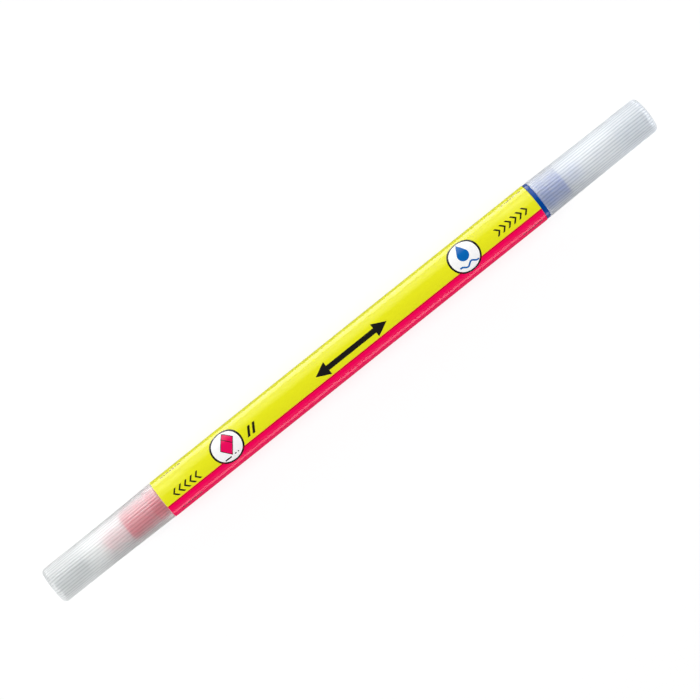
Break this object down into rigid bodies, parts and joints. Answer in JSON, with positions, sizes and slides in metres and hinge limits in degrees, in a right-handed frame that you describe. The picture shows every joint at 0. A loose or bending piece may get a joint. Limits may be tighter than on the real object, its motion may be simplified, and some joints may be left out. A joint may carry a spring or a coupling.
{
  "type": "ink eraser pen",
  "caption": "Slim round double-ended pen with an ink eraser at one end and a fine blue point at the other, each under a frosted ribbed pull-off cap, and a printed barrel.",
  "frame": {"origin": "middle of the whole capped pen, on its axis", "axes": "+X along the pen from the eraser end to the writing end, +Z out of the yellow side of the barrel, away from the surface that it lies on, -Y on the side where the pink print comes round"},
  "size_m": [0.15, 0.0086, 0.0086],
  "materials": {
    "white_plastic": "smooth white moulded plastic",
    "yellow_print": "glossy yellow print",
    "pink_print": "glossy pink print",
    "pink_plastic": "smooth pink moulded plastic",
    "blue_plastic": "smooth deep blue moulded plastic",
    "frosted_plastic": "frosted, translucent, natural plastic",
    "white_fibre": "bonded white fibre",
    "ink_fibre": "bonded fibre soaked with blue ink",
    "wrap_film": "thin clear film"
  },
  "bodies": {
    "pen_body": {"barrel_tube": "white_plastic", "yellow_label_film": "yellow_print", "pink_label_film": "pink_print", "centre_plug": "white_plastic", "eraser_section": "pink_plastic", "eraser_nib": "white_fibre", "eraser_reservoir_core": "white_fibre", "eraser_reservoir_wrap": "wrap_film", "ink_section": "blue_plastic", "ink_nib_holder": "white_plastic", "ink_nib": "blue_plastic", "ink_reservoir_core": "ink_fibre", "ink_reservoir_wrap": "wrap_film"},
    "eraser_cap_body": {"eraser_cap": "frosted_plastic", "eraser_inner_cap": "frosted_plastic"},
    "writer_cap_body": {"writer_cap": "frosted_plastic", "writer_inner_cap": "frosted_plastic"}
  },
  "joints": [
    {"name": "eraser_cap_pull", "type": "slide", "parent": "pen_body", "child": "eraser_cap_body", "axis": [-1, 0, 0], "range_m": [0, 0.025]},
    {"name": "writer_cap_pull", "type": "slide", "parent": "pen_body", "child": "writer_cap_body", "axis": [1, 0, 0], "range_m": [0, 0.025]}
  ]
}
